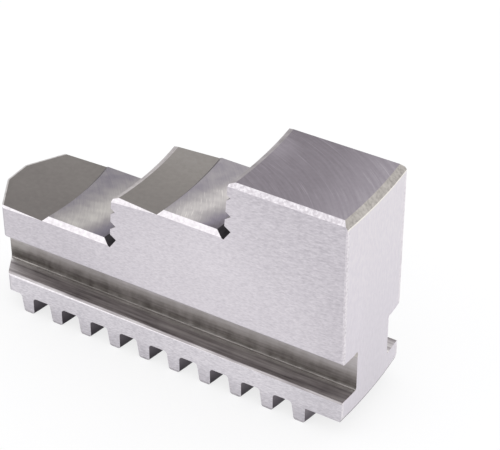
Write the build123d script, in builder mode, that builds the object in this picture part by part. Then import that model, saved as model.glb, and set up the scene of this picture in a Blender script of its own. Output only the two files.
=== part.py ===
"""Reverse jaw of a self-centring scroll chuck, in millimetres.

The jaw is one piece of ground steel that stands on its scroll teeth. X runs along the jaw, from
the nose at the chuck's centre to the outer end, Y across it, and Z up. The origin is the middle of
the box around the jaw, at the tips of the teeth.
"""

import os
from math import cos, radians, sin, sqrt, tan

from build123d import *

# Overall size
jaw_length = 75.0
jaw_width = 20.0
nose_to_chuck_axis = 35.0

# Heights above the tips of the scroll teeth
tooth_height = 3.75
heel_height = 3.4
heel_length = 7.5
rail_top = 7.65
groove_roof = 15.9
low_seat = 23.55
mid_seat = 34.15
jaw_top = 44.9

# Steps, measured from the nose along the middle of the jaw
low_seat_start = 15.0
low_riser = 28.7
mid_seat_start = 39.6
high_riser = 52.0

# Treads and risers
relief_depth = 0.85
relief_step_run = 0.8
riser_lean = 5.0
riser_edge_width = 1.0
riser_edge_drop = 0.4
end_edge_width = 1.0
end_edge_drop = 1.15
foot_edge_width = 0.25
foot_edge_rise = 1.0

# Serrations in the risers and the relief slot at each foot
serration_reach = 1.45
serration_angle = 72.0
low_serrations = (3.9, 6.95)
high_serrations = (4.1, 7.75)
slot_width = 2.5
slot_depth = 0.65
slot_angle = 35.0
slot_floor_angle = 30.0

# Nose
nose_flat = 5.4
nose_angle = 60.0
nose_edge_radius = 0.8

# Guide grooves in both sides
neck_width = 11.0
ledge_fillet = 0.5
corner_relief_radius = 0.55
corner_relief_inset = 0.45
corner_relief_drop = 0.4
rail_inner_edge = 0.55
rail_outer_edge = 0.25
side_edge = 0.4

# Chamfers along the top side edges
seat_edge = 0.8
top_edge = 0.75
low_relief_edge = 0.4
mid_relief_edge = 0.85

# Scroll teeth
tooth_count = 10
tooth_pitch = 6.43
first_tooth = 9.6
tooth_thickness = 2.7
tooth_outer_draft = 0.5
tooth_inner_draft = 7.0
tooth_outer_radius = 45.0
tooth_inner_radius = 75.0
tooth_root_radius = 0.7
tooth_tip_radius = 0.5

# Places worked out from the sizes above
half_width = jaw_width / 2
nose_x = -jaw_length / 2
chuck_axis_x = nose_x - nose_to_chuck_axis
chuck_axis = Axis((chuck_axis_x, 0, 0), (0, 0, 1))
turned_half_angle = 30.0
over = 2.0
level = 0.01


def turned_radius(from_nose):
    """Radius about the chuck's axis of a place given by its distance from the nose."""
    return nose_to_chuck_axis + from_nose


def side_x(radius):
    """Where a turned surface of this radius meets the side of the jaw."""
    return chuck_axis_x + sqrt(radius**2 - half_width**2)


def riser_radius(foot_radius, height):
    """Radius of a leaning riser at a height above its seat."""
    return foot_radius + height * tan(radians(riser_lean))


low_foot = turned_radius(low_riser)
high_foot = turned_radius(high_riser)
low_rise = mid_seat - relief_depth - riser_edge_drop - low_seat
high_rise = jaw_top - riser_edge_drop - mid_seat
low_crest = riser_radius(low_foot, low_rise)
high_crest = riser_radius(high_foot, high_rise)
heel_start = turned_radius(jaw_length - heel_length)
end_radius = turned_radius(jaw_length)


def radial_plane(axis_x):
    """Plane of a radial section through an upright axis, at the start of its turn."""
    turn = radians(turned_half_angle)
    return Plane(
        origin=(axis_x, 0, 0), x_dir=(cos(turn), -sin(turn), 0), z_dir=(-sin(turn), -cos(turn), 0)
    )


# The turned form: everything that was cut about the chuck's axis, drawn as one radial section
inner_radius = nose_to_chuck_axis - over
low_relief = low_seat - relief_depth
mid_relief = mid_seat - relief_depth

with BuildPart() as turned_form:
    with BuildSketch(radial_plane(chuck_axis_x)) as section:
        with BuildLine():
            Polyline(
                (inner_radius, tooth_height),
                (heel_start, tooth_height),
                (heel_start, heel_height),
                (end_radius - foot_edge_width, heel_height),
                (end_radius, heel_height + foot_edge_rise),
                (end_radius, jaw_top - end_edge_drop),
                (end_radius - end_edge_width, jaw_top),
                (high_crest + riser_edge_width, jaw_top),
                (high_crest, jaw_top - riser_edge_drop),
                (high_foot, mid_seat),
                (turned_radius(mid_seat_start), mid_seat),
                (turned_radius(mid_seat_start) - relief_step_run, mid_relief),
                (low_crest + riser_edge_width, mid_relief),
                (low_crest, mid_relief - riser_edge_drop),
                (low_foot, low_seat),
                (turned_radius(low_seat_start), low_seat),
                (turned_radius(low_seat_start) - relief_step_run, low_relief),
                (inner_radius, low_relief),
                close=True,
            )
        make_face()
        for foot, seat, serrations in (
            (low_foot, low_seat, low_serrations),
            (high_foot, mid_seat, high_serrations),
        ):
            for height in serrations:
                reach = serration_reach + over
                opening = reach * tan(radians(serration_angle / 2))
                with BuildLine():
                    Polyline(
                        (foot + serration_reach, seat + height),
                        (foot - over, seat + height + opening),
                        (foot - over, seat + height - opening),
                        close=True,
                    )
                make_face(mode=Mode.SUBTRACT)
            slot_reach = slot_width + over
            tilt, floor_tilt = radians(slot_angle), radians(slot_floor_angle)
            deep_x = foot + slot_depth - slot_width / 2 * sin(tilt)
            deep_z = seat - slot_width / 2 * cos(tilt)
            back_x = deep_x + slot_width * sin(tilt)
            back_z = deep_z + slot_width * cos(tilt)
            with BuildLine():
                Polyline(
                    (deep_x, deep_z),
                    (back_x, back_z),
                    (back_x - slot_reach * cos(tilt), back_z + slot_reach * sin(tilt)),
                    (deep_x - slot_reach * cos(floor_tilt), deep_z + slot_reach * sin(floor_tilt)),
                    close=True,
                )
            make_face(mode=Mode.SUBTRACT)
    revolve(axis=chuck_axis, revolution_arc=2 * turned_half_angle)


def side_edge_cutter(height, start, end, start_size, end_size):
    """A cutter for both side edges of a flat top, whose chamfer may narrow along the jaw."""
    begin = start - over
    begin_size = start_size + (start_size - end_size) * over / (end - start)
    with BuildPart() as cutter:
        for x, size in ((begin, begin_size), (end, end_size)):
            with BuildSketch(Plane.YZ.offset(x)):
                with BuildLine():
                    Polyline(
                        (half_width + over, height - size - over),
                        (half_width + over, height + over),
                        (half_width - size - over, height + over),
                        close=True,
                    )
                make_face()
        loft(ruled=True)
        mirror(about=Plane.XZ)
    return cutter.part


def scroll_tooth(side_place):
    """One scroll tooth: its convex outer and concave inner flank are turned about two axes."""
    outer_axis_x = side_place - sqrt(tooth_outer_radius**2 - half_width**2)
    inner_axis_x = side_place - tooth_thickness - sqrt(tooth_inner_radius**2 - half_width**2)
    with BuildPart() as tooth:
        for axis_x, radius, outward, draft, mode in (
            (outer_axis_x, tooth_outer_radius, 1, tooth_outer_draft, Mode.ADD),
            (inner_axis_x, tooth_inner_radius, -1, tooth_inner_draft, Mode.INTERSECT),
        ):
            narrowed = tooth_height * tan(radians(draft))
            with BuildSketch(radial_plane(axis_x)) as flank:
                with BuildLine():
                    Polyline(
                        (radius - outward * tooth_pitch, 0),
                        (radius - outward * narrowed, 0),
                        (radius, tooth_height),
                        (radius + outward * over, tooth_height),
                        (radius + outward * over, tooth_height + over),
                        (radius - outward * tooth_pitch, tooth_height + over),
                        close=True,
                    )
                make_face()
                for nearest, edge_radius in ((1, tooth_tip_radius), (0, tooth_root_radius)):
                    corners = flank.vertices().sort_by(lambda corner: abs(corner.X - radius))
                    fillet(corners[nearest], edge_radius)
            turn = Axis((axis_x, 0, 0), (0, 0, 1))
            revolve(axis=turn, revolution_arc=2 * turned_half_angle, mode=mode)
        with Locations((side_place, 0, 0)):
            Box(2 * tooth_pitch, jaw_width, 4 * tooth_height, mode=Mode.INTERSECT)
    return tooth.part


with BuildPart() as jaw:
    # The bar, with its nose milled to a wedge so that the jaws meet at the chuck's centre
    bevel_end = nose_x + (half_width - nose_flat / 2) / tan(radians(nose_angle))
    with BuildSketch(Plane.XY.offset(heel_height)) as outline:
        with BuildLine():
            Polyline(
                (nose_x, -nose_flat / 2),
                (bevel_end, -half_width),
                (-nose_x + over, -half_width),
                (-nose_x + over, half_width),
                (bevel_end, half_width),
                (nose_x, nose_flat / 2),
                close=True,
            )
        make_face()
        fillet(outline.vertices().sort_by(Axis.X)[:4], nose_edge_radius)
    extrude(amount=jaw_top - heel_height)
    add(turned_form.part, mode=Mode.INTERSECT)

    # Guide grooves, with a relief in the upper corner so that the chuck's guides seat
    with BuildSketch(Plane.YZ.offset(nose_x - over)) as groove:
        groove_depth = (jaw_width - neck_width) / 2
        groove_height = groove_roof - rail_top
        with Locations((half_width + over / 2 - groove_depth / 2, rail_top + groove_height / 2)):
            Rectangle(groove_depth + over, groove_height)
        fillet(groove.vertices().group_by(Axis.Y)[0].sort_by(Axis.X)[0], ledge_fillet)
        with Locations(
            (neck_width / 2 + corner_relief_inset, groove_roof - corner_relief_drop)
        ):
            Circle(corner_relief_radius)
        mirror(about=Plane.YZ)
    extrude(amount=jaw_length + 3 * over, mode=Mode.SUBTRACT)

    # Scroll teeth: both flanks are arcs and lean in towards the tip
    for tooth in range(tooth_count):
        add(scroll_tooth(nose_x + first_tooth + tooth * tooth_pitch))

    # Side edges: even along the ground seats and the top, tapering along the reliefs and the rail
    low_end = side_x(turned_radius(low_seat_start))
    mid_end = side_x(turned_radius(mid_seat_start))
    low_seat_end = side_x(low_foot) - level
    mid_seat_end = side_x(high_foot) - level
    low_relief_end = side_x(turned_radius(low_seat_start) - relief_step_run)
    mid_relief_end = side_x(turned_radius(mid_seat_start) - relief_step_run)
    for cutter in (
        side_edge_cutter(low_relief, bevel_end, low_relief_end, low_relief_edge, 0),
        side_edge_cutter(low_seat, low_end, low_seat_end, seat_edge, seat_edge),
        side_edge_cutter(mid_relief, side_x(low_crest), mid_relief_end, mid_relief_edge, 0),
        side_edge_cutter(mid_seat, mid_end, mid_seat_end, seat_edge, seat_edge),
        side_edge_cutter(jaw_top, side_x(high_crest), -nose_x, top_edge, top_edge),
        side_edge_cutter(rail_top, nose_x, -nose_x, rail_inner_edge, rail_outer_edge),
    ):
        add(cutter, mode=Mode.SUBTRACT)

    roof = jaw.edges().filter_by(Axis.X)
    roof = roof.filter_by_position(Axis.Z, groove_roof - level, groove_roof + level)
    fillet(roof.filter_by(lambda edge: abs(edge.center().Y) > half_width - level), side_edge)

    jaw.part.label = "jaw"

os.makedirs("parts", exist_ok=True)
export_step(jaw.part, "parts/jaw.step")
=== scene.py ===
"""A reverse jaw of a self-centring scroll chuck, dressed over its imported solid. Metres, Z up."""

from math import cos, radians, sin

import bpy
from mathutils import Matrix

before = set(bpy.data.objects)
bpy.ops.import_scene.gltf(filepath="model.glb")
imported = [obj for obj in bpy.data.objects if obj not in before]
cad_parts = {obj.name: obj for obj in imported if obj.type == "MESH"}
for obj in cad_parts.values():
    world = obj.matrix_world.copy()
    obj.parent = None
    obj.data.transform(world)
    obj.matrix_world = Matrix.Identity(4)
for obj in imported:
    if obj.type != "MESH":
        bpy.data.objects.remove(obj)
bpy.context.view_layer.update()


# The camera stands to the front right, above the jaw, where the side, the treads and the outer
# end are all seen, and its long lens keeps the perspective slight.
camera = bpy.data.objects.new("camera", bpy.data.cameras.new("camera"))
camera.location = (0.1457, -0.21617, 0.21289)
camera.rotation_euler = (radians(54.15), radians(0.16), radians(31.445))
camera.data.sensor_width = 36
camera.data.lens = 132.16
camera.data.clip_start = 0.01
bpy.context.scene.collection.objects.link(camera)
bpy.context.scene.camera = camera
bpy.context.scene.view_settings.view_transform = "Standard"


def srgb(hex_colour):
    """Linear red, green, blue and alpha of a colour written as sRGB hex."""
    channels = [int(hex_colour[i : i + 2], 16) / 255 for i in (0, 2, 4)]
    return [c / 12.92 if c <= 0.04045 else ((c + 0.055) / 1.055) ** 2.4 for c in channels] + [1.0]


def node(tree, kind, inputs=(), **settings):
    """Adds a node, sets it, and fills its inputs from values or from other nodes' outputs."""
    made = tree.nodes.new(kind)
    for name, value in settings.items():
        setattr(made, name, value)
    for name, value in dict(inputs).items():
        in_use = [socket for socket in made.inputs if socket.enabled and socket.name == name]
        socket = made.inputs[name] if isinstance(name, int) else in_use[0]
        if isinstance(value, bpy.types.Node):
            value = next(output for output in value.outputs if output.enabled)
        if isinstance(value, bpy.types.NodeSocket):
            tree.links.new(value, socket)
        else:
            socket.default_value = value
    return made


# The studio is a white table top under an even pale sky. One large soft box to the front left
# puts a light along the chamfers, and a weaker one behind keeps the far edges clear.
world = bpy.data.worlds.new("pale_studio")
world.use_nodes = True
bpy.context.scene.world = world
sky = world.node_tree.nodes["Background"]
sky.inputs["Color"].default_value = srgb("F4F4F6")
sky.inputs["Strength"].default_value = 1.0

# The camera and the steel's reflections see the paper as white, and the jaw's shadow still
# shows on it.
paper = bpy.data.materials.new("matt_white_paper")
paper.use_nodes = True
paper_shader = paper.node_tree.nodes["Principled BSDF"]
paper_shader.inputs["Base Color"].default_value = srgb("8E8E8E")
paper_shader.inputs["Roughness"].default_value = 1.0
paper_shader.inputs["Specular IOR Level"].default_value = 0.0
paper_shader.inputs["Emission Color"].default_value = srgb("FFFFFF")
paper_glow = 0.76
ray = node(paper.node_tree, "ShaderNodeLightPath")
seen = ray.outputs["Is Camera Ray"]
for kind_of_ray in ("Is Glossy Ray", "Is Transmission Ray"):
    seen = node(
        paper.node_tree,
        "ShaderNodeMath",
        {0: seen, 1: ray.outputs[kind_of_ray]},
        operation="MAXIMUM",
    )
glow = node(paper.node_tree, "ShaderNodeMath", {0: seen, 1: paper_glow}, operation="MULTIPLY")
paper.node_tree.links.new(glow.outputs[0], paper_shader.inputs["Emission Strength"])
bpy.ops.mesh.primitive_plane_add(size=6)
floor = bpy.context.object
floor.name = "table_top"
floor.data.materials.append(paper)

for name, place, turn, size, power in (
    ("front_soft_box", (-0.36, -0.5, 0.6), (44, 0, -36), 0.6, 0.35),
    ("rear_soft_box", (0.5, 0.55, 0.5), (56, 0, 138), 0.4, 0.3),
):
    lamp = bpy.data.objects.new(name, bpy.data.lights.new(name, "AREA"))
    lamp.data.size = size
    lamp.data.energy = power
    lamp.location = place
    lamp.rotation_euler = [radians(angle) for angle in turn]
    bpy.context.scene.collection.objects.link(lamp)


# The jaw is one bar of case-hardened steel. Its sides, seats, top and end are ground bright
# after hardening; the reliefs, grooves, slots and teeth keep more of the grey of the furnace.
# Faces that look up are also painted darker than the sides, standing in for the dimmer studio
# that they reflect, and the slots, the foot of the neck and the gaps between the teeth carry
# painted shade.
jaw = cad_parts["jaw"]

# Its sizes in millimetres, with heights above the tips of the teeth and radii about the axis
# of the chuck.
jaw_top = 44.9
mid_relief, mid_seat = 33.3, 34.15
low_relief, low_seat = 22.7, 23.55
groove_roof = 15.9
rail_top = 7.65
half_width = 10.0
neck_half_width = 5.5
nose_end = -37.5
nose_slant = radians(60)
chuck_axis = -72.5
low_riser_radius, high_riser_radius, end_radius = 63.7, 87.0, 110.0

# Its mesh comes as loose triangles. They are welded and shaded smoothly, and the edges that
# turn by more than last_smooth_turn stay sharp.
weld_distance = 1e-7
last_smooth_turn = radians(20)
weld = bpy.data.node_groups.new("weld_and_smooth", "GeometryNodeTree")
weld.interface.new_socket("Geometry", in_out="INPUT", socket_type="NodeSocketGeometry")
weld.interface.new_socket("Geometry", in_out="OUTPUT", socket_type="NodeSocketGeometry")
loose = node(weld, "NodeGroupInput")
merged = node(
    weld, "GeometryNodeMergeByDistance", {"Geometry": loose, "Distance": weld_distance}
)
smooth_faces = node(weld, "GeometryNodeSetShadeSmooth", {"Geometry": merged}, domain="FACE")
edge_turn = node(weld, "GeometryNodeInputMeshEdgeAngle")
sharp_edge = node(
    weld, "FunctionNodeCompare", {"A": edge_turn, "B": last_smooth_turn}, operation="GREATER_THAN"
)
sharp = node(
    weld,
    "GeometryNodeSetShadeSmooth",
    {"Geometry": smooth_faces, "Selection": sharp_edge, "Shade Smooth": False},
    domain="EDGE",
)
node(weld, "NodeGroupOutput", {"Geometry": sharp})
jaw.modifiers.new("weld_and_smooth", "NODES").node_group = weld

# Steel ground with a fine wheel gives a bright satin face with a short grain. The pattern reads
# the object's own coordinates in millimetres and its normal, so each finish stays on its face.
steel = bpy.data.materials.new("case_hardened_ground_steel")
steel.use_nodes = True
tree = steel.node_tree
shader = tree.nodes["Principled BSDF"]
shader.inputs["Metallic"].default_value = 1.0

millimetre = 0.001
coordinates = node(tree, "ShaderNodeTexCoord")
millimetres = node(
    tree,
    "ShaderNodeVectorMath",
    {"Vector": coordinates.outputs["Object"], "Scale": 1 / millimetre},
    operation="SCALE",
)
along, across, height = node(tree, "ShaderNodeSeparateXYZ", {"Vector": millimetres}).outputs
end_facing, side_facing, up_facing = node(
    tree, "ShaderNodeSeparateXYZ", {"Vector": coordinates.outputs["Normal"]}
).outputs
off_centre = node(tree, "ShaderNodeMath", {0: across}, operation="ABSOLUTE").outputs[0]
sideways = node(tree, "ShaderNodeMath", {0: side_facing}, operation="ABSOLUTE").outputs[0]

# What was turned about the chuck's axis is found by its radius from that axis.
beyond_axis = node(tree, "ShaderNodeMath", {0: along, 1: chuck_axis}, operation="SUBTRACT")
turned_place = node(tree, "ShaderNodeCombineXYZ", {"X": beyond_axis, "Y": across})
turned_radius = node(
    tree, "ShaderNodeVectorMath", {0: turned_place}, operation="LENGTH"
).outputs["Value"]

# What lies along the slanting faces of the nose is found by its distance square to them, which
# is nose_bevel on the faces themselves.
nose_bevel = -33.83
inward = node(tree, "ShaderNodeMath", {0: off_centre, 1: -cos(nose_slant)}, operation="MULTIPLY")
nose_inside = node(
    tree, "ShaderNodeMath", {0: along, 1: sin(nose_slant), 2: inward}, operation="MULTIPLY_ADD"
).outputs[0]

# Grain of each way of cutting: its turn in degrees, the millimetres that one fleck of it
# measures along X, Y and Z, its detail, and the noise values that give none and all of it.
# Flecks are drawn about twice as coarse as real ones, so that they show.
# This holds each finish's grain and, further down, the tones that paint light and shade.
grain_and_painted_light = {}
for finish, turn, fleck, detail, low, high in (
    ("ground_side", 8, (0.7, 0.7, 0.24), 4.0, 0.3, 0.7),
    ("ground_end", 0, (0.5, 0.5, 1.2), 4.0, 0.3, 0.7),
    ("milled_lines", 0, (12.0, 0.5, 0.5), 4.0, 0.34, 0.66),
    ("oil_stains", 0, (2.2, 6.0, 4.5), 3.0, 0.35, 0.65),
    ("matt_skin", 0, (0.8, 0.8, 0.8), 4.0, 0.3, 0.7),
    ("filed_facets", 0, (0.5, 0.5, 0.5), 2.0, 0.3, 0.7),
    ("turned_lines", 0, (9.0, 9.0, 0.25), 3.0, 0.3, 0.7),
    ("furnace_cloud", 0, (16.0, 12.0, 12.0), 2.0, 0.3, 0.7),
    ("wheel_ripple", 10, (2.0, 2.0, 0.5), 4.0, 0.36, 0.64),
    ("smears", 0, (3.2, 2.2, 3.0), 4.0, 0.34, 0.66),
    ("nicks", 0, (0.35, 0.35, 0.35), 2.0, 0.6, 0.72),
):
    turned = node(
        tree,
        "ShaderNodeVectorRotate",
        {"Vector": millimetres, "Angle": radians(turn)},
        rotation_type="Y_AXIS",
    )
    scaled = node(
        tree,
        "ShaderNodeVectorMath",
        {0: turned, 1: [1 / size for size in fleck]},
        operation="MULTIPLY",
    )
    noise = node(tree, "ShaderNodeTexNoise", {"Vector": scaled, "Scale": 1.0, "Detail": detail})
    grain_and_painted_light[finish] = node(
        tree, "ShaderNodeMapRange", {"Value": noise, "From Min": low, "From Max": high}
    )

# The seats and the top were ground with the rim of a cup wheel, which leaves arcs about the
# wheel's centre, beside the jaw, and here and there a deeper scratch. Each place is laid out by
# its radius and its bearing from that centre, and wheel_reach makes a bearing a length.
# Arcs and scratches are drawn about twice as wide as real ones, so that they show.
wheel_reach = 27.0
arc_length = 4.5
scratch_breadth = 0.22
for seat, wheel, arc_spacing, scratch_length in (
    ("low_seat", (-45.8, -20.0, 0.0), 0.3, 2.5),
    ("mid_seat", (-22.5, -20.0, 0.0), 0.3, 2.5),
    ("top", (5.5, -30.0, 0.0), 0.5, 9.0),
):
    from_wheel = node(
        tree, "ShaderNodeVectorMath", {0: millimetres, 1: wheel}, operation="SUBTRACT"
    )
    flat = node(
        tree, "ShaderNodeVectorMath", {0: from_wheel, 1: (1.0, 1.0, 0.0)}, operation="MULTIPLY"
    )
    radius = node(tree, "ShaderNodeVectorMath", {0: flat}, operation="LENGTH").outputs["Value"]
    wheel_x, wheel_y = node(tree, "ShaderNodeSeparateXYZ", {"Vector": flat}).outputs[:2]
    bearing = node(tree, "ShaderNodeMath", {0: wheel_y, 1: wheel_x}, operation="ARCTAN2")
    spread = node(tree, "ShaderNodeCombineXYZ", {"X": radius, "Y": bearing})
    for mark, breadth, length, low, high in (
        ("arcs", arc_spacing, arc_length, 0.3, 0.7),
        ("scratches", scratch_breadth, scratch_length, 0.6, 0.68),
    ):
        stretched = node(
            tree,
            "ShaderNodeVectorMath",
            {0: spread, 1: (1 / breadth, wheel_reach / length, 0.0)},
            operation="MULTIPLY",
        )
        noise = node(
            tree, "ShaderNodeTexNoise", {"Vector": stretched, "Scale": 1.0, "Detail": 3.0}
        )
        grain_and_painted_light[f"{seat}_{mark}"] = node(
            tree, "ShaderNodeMapRange", {"Value": noise, "From Min": low, "From Max": high}
        )

# Distances that the tones of a face follow, in millimetres: from a spot on the side or the top,
# from the slanting middle line of each seat's painted highlight band, and from the streak that the
# cutter left along each ledge.
side_place = node(tree, "ShaderNodeCombineXYZ", {"X": along, "Z": height})
top_place = node(tree, "ShaderNodeCombineXYZ", {"X": along, "Y": across})
from_side_highlight, from_top_corner, from_far_corner = (
    node(tree, "ShaderNodeVectorMath", {0: place, 1: spot}, operation="DISTANCE").outputs["Value"]
    for place, spot in (
        (side_place, (10.0, 0.0, 20.0)),
        (top_place, (15.5, 3.2, 0.0)),
        (top_place, (18.0, 9.0, 0.0)),
    )
)
slope = node(tree, "ShaderNodeMath", {0: along, 1: height}, operation="ADD")

band_slant = -0.4
slant = node(
    tree, "ShaderNodeMath", {0: across, 1: band_slant, 2: along}, operation="MULTIPLY_ADD"
)
past_low_highlight_band, past_mid_highlight_band, past_streak = (
    node(tree, "ShaderNodeMath", {0: value, 1: middle}, operation="SUBTRACT")
    for value, middle in ((slant, -14.8), (slant, 8.9), (off_centre, 7.7))
)
from_low_highlight_band, from_mid_highlight_band, from_streak = (
    node(tree, "ShaderNodeMath", {0: past}, operation="ABSOLUTE")
    for past in (past_low_highlight_band, past_mid_highlight_band, past_streak)
)

# Slow changes of tone over a face: none of the tone at the first place, all of it at the second.
# Many of them are painted light and shade: a highlight band on each seat, with painted shade at
# the foot of its riser, a broad highlight on the side, a sheen and a highlight on the top, painted
# shade low on the neck, the rail and the gaps between the teeth, and painted light on the ledge.
for tone, value, start, end in (
    ("low_seat_painted_highlight_band", from_low_highlight_band, 7.5, 0.0),
    ("mid_seat_painted_highlight_band", from_mid_highlight_band, 6.2, 0.0),
    ("low_seat_out_of_painted_riser_shade", past_low_highlight_band, 8.0, 1.0),
    ("mid_seat_out_of_painted_riser_shade", past_mid_highlight_band, 8.0, 1.0),
    ("side_painted_highlight", from_side_highlight, 38.0, 4.0),
    ("side_nose", along, -10.0, -36.0),
    ("top_painted_sheen", along, 24.0, 38.0),
    ("top_corner_painted_highlight", from_top_corner, 6.0, 0.5),
    ("top_far_corner", from_far_corner, 7.0, 1.0),
    ("end_height", height, 5.0, 44.0),
    ("neck_painted_shade_below", height, 8.3, 13.0),
    ("tooth_gap_painted_shade", height, 0.3, 3.4),
    ("rail_painted_shade_below", height, 0.8, 4.8),
    ("ledge_painted_light_beside_neck", off_centre, 7.4, 5.8),
    ("ledge_root_painted_light", off_centre, 6.7, 6.2),
    ("outer_end", along, 20.0, 36.0),
    ("upper_outer", slope, 34.0, 62.0),
    ("far_side", across, -9.0, 9.0),
    ("ledge_streak", from_streak, 0.9, 0.1),
    ("outer_half", along, -10.0, 6.0),
):
    grain_and_painted_light[tone] = node(
        tree,
        "ShaderNodeMapRange",
        {"Value": value, "From Min": start, "From Max": end},
        interpolation_type="SMOOTHSTEP",
    )

# The scratches of a seat show only inside its painted highlight band, the wheel rippled the side
# only towards its upper outer corner, and the ledge has its streak only on the outer half.
for finish, part_of_face in (
    ("low_seat_scratches", "low_seat_painted_highlight_band"),
    ("mid_seat_scratches", "mid_seat_painted_highlight_band"),
    ("wheel_ripple", "upper_outer"),
    ("ledge_streak", "outer_half"),
):
    grain_and_painted_light[finish] = node(
        tree,
        "ShaderNodeMath",
        {0: grain_and_painted_light[finish], 1: grain_and_painted_light[part_of_face]},
        operation="MULTIPLY",
    )

# Faces that several finishes share, each as a value that has to be near a centre.
side = ((sideways, 1.0, 0.01), (off_centre, half_width, 0.05))
end_face = (end_facing, 1.0, 0.02)
flat_up = (up_facing, 1.0, 0.01)
side_chamfer = ((sideways, 0.71, 0.1), (up_facing, 0.71, 0.1))
riser_edge = ((up_facing, 0.93, 0.03), (end_facing, -0.37, 0.08))
riser_face = ((end_facing, -0.8, 0.35), (sideways, 0.0, 0.6))
inside_slot = ((up_facing, 0.0, 0.9), (sideways, 0.0, 0.6))

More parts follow.
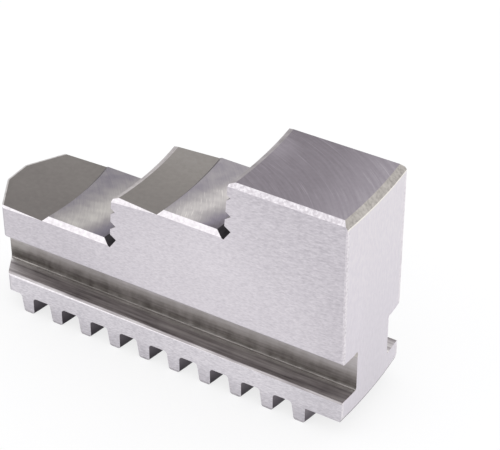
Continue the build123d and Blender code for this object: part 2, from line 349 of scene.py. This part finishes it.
# Each finish: where it lies, as values that have to be near a centre; its colours from dark to
# light; the share of each grain that picks between them; its roughness; and how deep its grain
# is cut, in millimetres, drawn deeper than it is so that it shows. A later finish covers an
# earlier one, and what no finish claims keeps the plain steel of the first three values.
colour = srgb("C4C0C6")
roughness = 0.4
grain_height = 0.0
roughness_spread = 0.08
for where, colours, shares, finish_roughness, depth in (
    # Ground side, with a short slanting grain and a broad painted highlight about its middle
    (
        side,
        ("BEB9C0", "DAD5DB", "F0EBF0"),
        {
            "ground_side": 0.38,
            "side_painted_highlight": 0.28,
            "side_nose": 0.08,
            "furnace_cloud": 0.1,
            "nicks": 0.12,
            "wheel_ripple": -0.2,
            "upper_outer": 0.08,
        },
        0.38,
        0.006,
    ),
    # Lighter rim of the side along the outer end
    (
        (*side, (turned_radius, end_radius, 0.3)),
        ("C8C3C9", "E6E1E6"),
        {"filed_facets": 1.0},
        0.35,
        0.0,
    ),
    # Side of the rail and the teeth, a little greyer, with painted shade low down near the teeth
    (
        (*side, (height, 0.0, rail_top)),
        ("B6B2B8", "CFCBD1", "EAE6EB"),
        {
            "ground_side": 0.5,
            "rail_painted_shade_below": 0.32,
            "furnace_cloud": 0.14,
            "nicks": 0.14,
            "outer_end": -0.2,
        },
        0.38,
        0.005,
    ),
    # Painted shade along the rim of the side at the tips of the teeth
    (
        (*side, (height, 0.0, 0.4)),
        ("A19DA2", "B2AEB3", "C4C0C5"),
        {"filed_facets": 0.9},
        0.4,
        0.0,
    ),
    # Ground outer end, with an upright grain
    (
        (end_face,),
        ("D7D2D9", "DDD8DF", "E5E0E4"),
        {"ground_end": 0.5, "end_height": 0.5},
        0.36,
        0.002,
    ),
    # Lighter upright rims of the outer end
    (
        (end_face, (off_centre, half_width - 0.3, 0.35)),
        ("CCC7CC", "E6E1E6", "F0ECEF"),
        {"filed_facets": 0.9},
        0.35,
        0.004,
    ),
    # Painted highlight under the chamfer of the outer end
    (
        (end_face, (height, jaw_top - 1.3, 0.2)),
        ("ECE7E2", "F6F2EC"),
        {"filed_facets": 1.0},
        0.35,
        0.0,
    ),
    # Narrow bevel at the foot of the outer end
    (
        ((end_facing, 0.97, 0.008), (height, 3.9, 0.6)),
        ("E4E0E2", "F4F0F2"),
        {"ground_end": 1.0},
        0.4,
        0.0,
    ),
    # Ground faces of the nose
    (
        ((end_facing, -0.8, 0.25), (height, 10.0, 14.0)),
        ("C4C0C6", "D4D0D6", "DEDAE0"),
        {"ground_end": 0.8},
        0.4,
        0.002,
    ),
    # Matt low relief, in front of the low seat
    (
        (flat_up, (height, low_relief, 0.1)),
        ("7E7976", "88837F", "928D89"),
        {"matt_skin": 0.26, "far_side": 0.42, "furnace_cloud": 0.2},
        0.5,
        0.004,
    ),
    # Painted highlights along the rims of the low relief, where its edges catch the light, along
    # the slanting faces of the nose and along its end
    (
        (flat_up, (height, low_relief, 0.1), (nose_inside, nose_bevel, 0.3)),
        ("BDB9B6", "DEDAD8"),
        {"matt_skin": 1.0},
        0.4,
        0.0,
    ),
    (
        (flat_up, (height, low_relief, 0.1), (along, nose_end, 0.3)),
        ("BDB9B6", "DEDAD8"),
        {"matt_skin": 1.0},
        0.4,
        0.0,
    ),
    # Matt relief in front of the middle seat
    (
        (flat_up, (height, mid_relief, 0.1)),
        ("8C8783", "98938E", "A6A19D"),
        {"matt_skin": 0.22, "far_side": 0.55, "furnace_cloud": 0.12},
        0.5,
        0.004,
    ),
    # Low seat, ground in arcs, with scratches, a painted highlight band and painted shade at the
    # foot of its riser
    (
        (flat_up, (height, low_seat, 0.1)),
        ("5C575C", "817C86", "A5A0A0", "CECAC4"),
        {
            "low_seat_painted_highlight_band": 0.42,
            "low_seat_out_of_painted_riser_shade": 0.33,
            "low_seat_arcs": 0.1,
            "low_seat_scratches": 0.12,
            "smears": 0.14,
            "far_side": 0.03,
        },
        0.33,
        0.004,
    ),
    # Middle seat, the same with brighter scratches
    (
        (flat_up, (height, mid_seat, 0.1)),
        ("645E62", "908A94", "B5B0B0", "E2DDD9"),
        {
            "mid_seat_painted_highlight_band": 0.44,
            "mid_seat_out_of_painted_riser_shade": 0.26,
            "mid_seat_arcs": 0.1,
            "mid_seat_scratches": 0.34,
            "smears": 0.14,
            "far_side": 0.13,
        },
        0.33,
        0.004,
    ),
    # Top, ground in wide faint arcs, with a painted sheen that grows towards the outer end, a
    # painted highlight near the riser, and darker towards the far corner
    (
        (flat_up, (height, jaw_top, 0.1)),
        ("867F85", "A19AA1", "C5BFC4"),
        {
            "top_arcs": 0.2,
            "matt_skin": 0.08,
            "top_painted_sheen": 0.42,
            "top_corner_painted_highlight": 0.3,
            "top_far_corner": -0.12,
            "top_scratches": 0.26,
        },
        0.33,
        0.004,
    ),
    # Turned bevels along the upper edges of the risers, the high one duller
    (
        riser_edge,
        ("A8A2A1", "BEB8B7", "CEC9C8"),
        {"turned_lines": 0.6, "matt_skin": 0.4},
        0.4,
        0.004,
    ),
    (
        (*riser_edge, (height, jaw_top - 0.2, 0.4)),
        ("8C8686", "A39D9E", "B8B2B3"),
        {"turned_lines": 0.5, "smears": 0.5},
        0.4,
        0.004,
    ),
    # Turned slopes from the reliefs up to the seats
    (
        ((up_facing, 0.69, 0.06), (end_facing, -0.72, 0.08)),
        ("625C61", "746E73"),
        {"turned_lines": 1.0},
        0.45,
        0.004,
    ),
    # Filed chamfers along the sides, painted near white for the highlight they catch from the
    # front soft box, those of the top duller
    (
        side_chamfer,
        ("E7E2E5", "F2EDF0", "FBF8FA"),
        {"filed_facets": 0.9},
        0.35,
        0.004,
    ),
    (
        (*side_chamfer, (height, jaw_top - 0.4, 0.4)),
        ("CEC8CD", "E0DBDF", "F2EEF1"),
        {"filed_facets": 1.0},
        0.35,
        0.004,
    ),
    # Chamfer between the top and the outer end
    (
        ((end_facing, 0.8, 0.1), (up_facing, 0.6, 0.1)),
        ("98938F", "B2ADA7", "C2BDB7"),
        {"filed_facets": 0.7, "smears": 0.3},
        0.35,
        0.004,
    ),
    # Turned faces of the low and the high riser
    (
        (
            (turned_radius, low_riser_radius + 1.7, 3.0),
            (height, low_seat + 4.75, 4.0),
            *riser_face,
        ),
        ("5E595E", "7A757A", "948F94"),
        {"turned_lines": 0.8, "matt_skin": 0.2},
        0.42,
        0.006,
    ),
    (
        (
            (turned_radius, high_riser_radius + 1.7, 3.0),
            (height, mid_seat + 5.15, 4.6),
            *riser_face,
        ),
        ("5E595E", "7A757A", "948F94"),
        {"turned_lines": 0.8, "matt_skin": 0.2},
        0.42,
        0.006,
    ),
    # Walls of the relief slots at the feet of the risers, furnace grey and darkened further with
    # painted shade
    (
        (
            (turned_radius, low_riser_radius - 0.1, 1.8),
            (height, low_seat + 0.4, 1.6),
            *inside_slot,
        ),
        ("4A474A", "605C60"),
        {"turned_lines": 0.6, "matt_skin": 0.4},
        0.5,
        0.006,
    ),
    (
        (
            (turned_radius, high_riser_radius - 0.1, 1.8),
            (height, mid_seat + 0.4, 1.6),
            *inside_slot,
        ),
        ("4A474A", "605C60"),
        {"turned_lines": 0.6, "matt_skin": 0.4},
        0.5,
        0.006,
    ),
    # Milled neck in the guide groove, oil-stained, with painted shade darkening it towards the
    # ledge
    (
        ((off_centre, neck_half_width + 0.1, 0.3), (sideways, 1.0, 0.3)),
        ("4B4641", "A19C99", "C3BEBF", "DAD5D9"),
        {
            "neck_painted_shade_below": 0.5,
            "milled_lines": 0.12,
            "matt_skin": 0.05,
            "oil_stains": 0.1,
            "side_nose": -0.06,
        },
        0.45,
        0.004,
    ),
    # Small fillet between neck and ledge
    (
        ((up_facing, 0.85, 0.16), (height, rail_top + 0.05, 0.12), (off_centre, 5.85, 0.2)),
        ("8E8985", "BBB6B2", "D6D1CD"),
        {"milled_lines": 0.4, "smears": 0.3, "nicks": 0.5},
        0.5,
        0.004,
    ),
    # Ledge on top of the rail, milled lengthwise, with painted light beside the neck and at its
    # root
    (
        ((up_facing, 1.0, 0.3), (height, rail_top, 0.3), (off_centre, 8.0, 2.0)),
        ("807A7B", "B8B2B3", "DEDAD9", "F8F5F3"),
        {
            "milled_lines": 0.46,
            "smears": 0.16,
            "ledge_painted_light_beside_neck": 0.44,
            "ledge_root_painted_light": 0.3,
            "ledge_streak": 0.2,
        },
        0.45,
        0.008,
    ),
    # Small relief in the upper corner of the groove
    (
        ((off_centre, 6.3, 1.2), (height, groove_roof - 0.3, 0.9), (end_facing, 0.0, 0.5)),
        ("C4BFBA", "DCD8D4"),
        {"milled_lines": 1.0},
        0.5,
        0.006,
    ),
    # Gaps between the scroll teeth, with painted shade, darkest at the tips
    (
        ((height, 0.0, 3.8), (sideways, 0.0, 0.9), (end_facing, 0.0, 0.999)),
        ("2E2A30", "645E65", "8E888E"),
        {"tooth_gap_painted_shade": 0.5, "furnace_cloud": 0.2, "outer_end": 0.5},
        0.5,
        0.004,
    ),
):
    inside = 1.0
    for value, centre, reach in where:
        near = node(
            tree, "ShaderNodeMath", {0: value, 1: centre, 2: reach}, operation="COMPARE"
        )
        inside = node(tree, "ShaderNodeMath", {0: inside, 1: near}, operation="MULTIPLY")
    mixture = 0.0
    for name, share in shares.items():
        mixture = node(
            tree,
            "ShaderNodeMath",
            {0: grain_and_painted_light[name], 1: share, 2: mixture},
            operation="MULTIPLY_ADD",
        )
    tones = node(tree, "ShaderNodeValToRGB", {"Fac": mixture})
    for step in range(1, len(colours) - 1):
        tones.color_ramp.elements.new(step / (len(colours) - 1))
    for stop, hex_colour in zip(tones.color_ramp.elements, colours):
        stop.color = srgb(hex_colour)
    smoother = node(
        tree,
        "ShaderNodeMath",
        {0: mixture, 1: -roughness_spread, 2: finish_roughness + roughness_spread / 2},
        operation="MULTIPLY_ADD",
    )
    cut = node(tree, "ShaderNodeMath", {0: mixture, 1: depth}, operation="MULTIPLY")
    colour = node(
        tree, "ShaderNodeMix", {"Factor": inside, "A": colour, "B": tones}, data_type="RGBA"
    )
    roughness = node(tree, "ShaderNodeMix", {"Factor": inside, "A": roughness, "B": smoother})
    grain_height = node(tree, "ShaderNodeMix", {"Factor": inside, "A": grain_height, "B": cut})
bump = node(tree, "ShaderNodeBump", {"Height": grain_height, "Distance": millimetre})
tree.links.new(colour.outputs[2], shader.inputs["Base Color"])
tree.links.new(roughness.outputs[0], shader.inputs["Roughness"])
tree.links.new(bump.outputs["Normal"], shader.inputs["Normal"])
jaw.data.materials.clear()
jaw.data.materials.append(steel)
